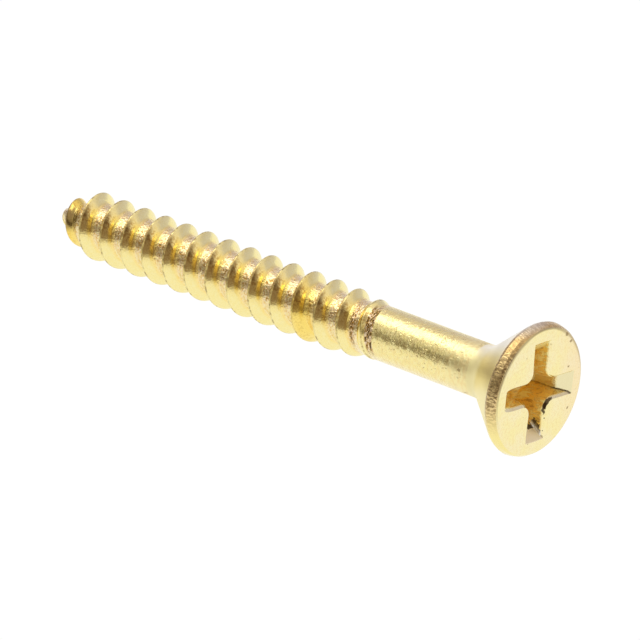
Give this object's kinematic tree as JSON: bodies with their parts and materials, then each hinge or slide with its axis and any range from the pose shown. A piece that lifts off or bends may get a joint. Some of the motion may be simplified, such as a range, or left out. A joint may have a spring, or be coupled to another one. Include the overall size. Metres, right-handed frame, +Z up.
{
  "type": "wood screw",
  "caption": "Countersunk brass wood screw with a cross recess, a plain shank, a coarse right-hand thread and a blunt gimlet point.",
  "frame": {"origin": "centre of the head's flat face, on the screw's axis", "axes": "+X along the screw's axis, out of the head; the point is at -X. +Z is up with the screw lying level"},
  "size_m": [0.0381, 0.0082, 0.0082],
  "materials": {
    "polished_brass": "polished, with small nicks",
    "satin_brass": "satin, finely pitted",
    "rolled_brass": "bright flanks, rough rolled roots"
  },
  "bodies": {
    "root": {"head": "polished_brass", "shank": "satin_brass", "threaded_shaft": "rolled_brass", "gimlet_point": "rolled_brass"}
  },
  "joints": []
}
